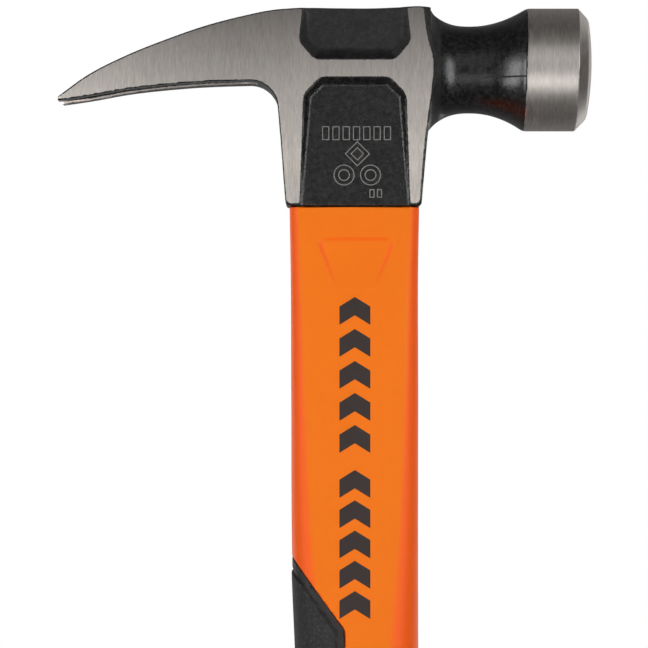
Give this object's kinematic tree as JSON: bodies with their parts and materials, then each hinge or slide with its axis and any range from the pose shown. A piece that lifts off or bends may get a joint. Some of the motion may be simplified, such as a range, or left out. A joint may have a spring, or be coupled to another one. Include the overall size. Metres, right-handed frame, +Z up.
{
  "type": "straight claw hammer",
  "caption": "Straight-claw hammer with a forged steel head and turned poll, bonded to a fibreglass core inside a hard moulded jacket with a soft grip and a tether hole.",
  "frame": {"origin": "centre of the flat end of the butt, on the handle's axis", "axes": "+Z up the handle to the head, +X towards the striking face, the claw towards -X, the cheeks facing +Y and -Y"},
  "size_m": [0.1286, 0.0298, 0.3346],
  "materials": {
    "forged_steel": "ground cheeks, claw and poll over a satin black forging",
    "fibreglass": "pultruded glass fibre in resin",
    "epoxy": "cast resin",
    "seal_plastic": "satin black",
    "orange_jacket": "satin orange polypropylene",
    "black_grip": "matt, finely textured soft elastomer",
    "black_cap": "fine matt texture"
  },
  "bodies": {
    "root": {"head": "forged_steel", "handle_core": "fibreglass", "eye_epoxy": "epoxy", "eye_seal": "seal_plastic", "handle_jacket": "orange_jacket", "grip": "black_grip", "butt_cap": "black_cap"}
  },
  "joints": []
}
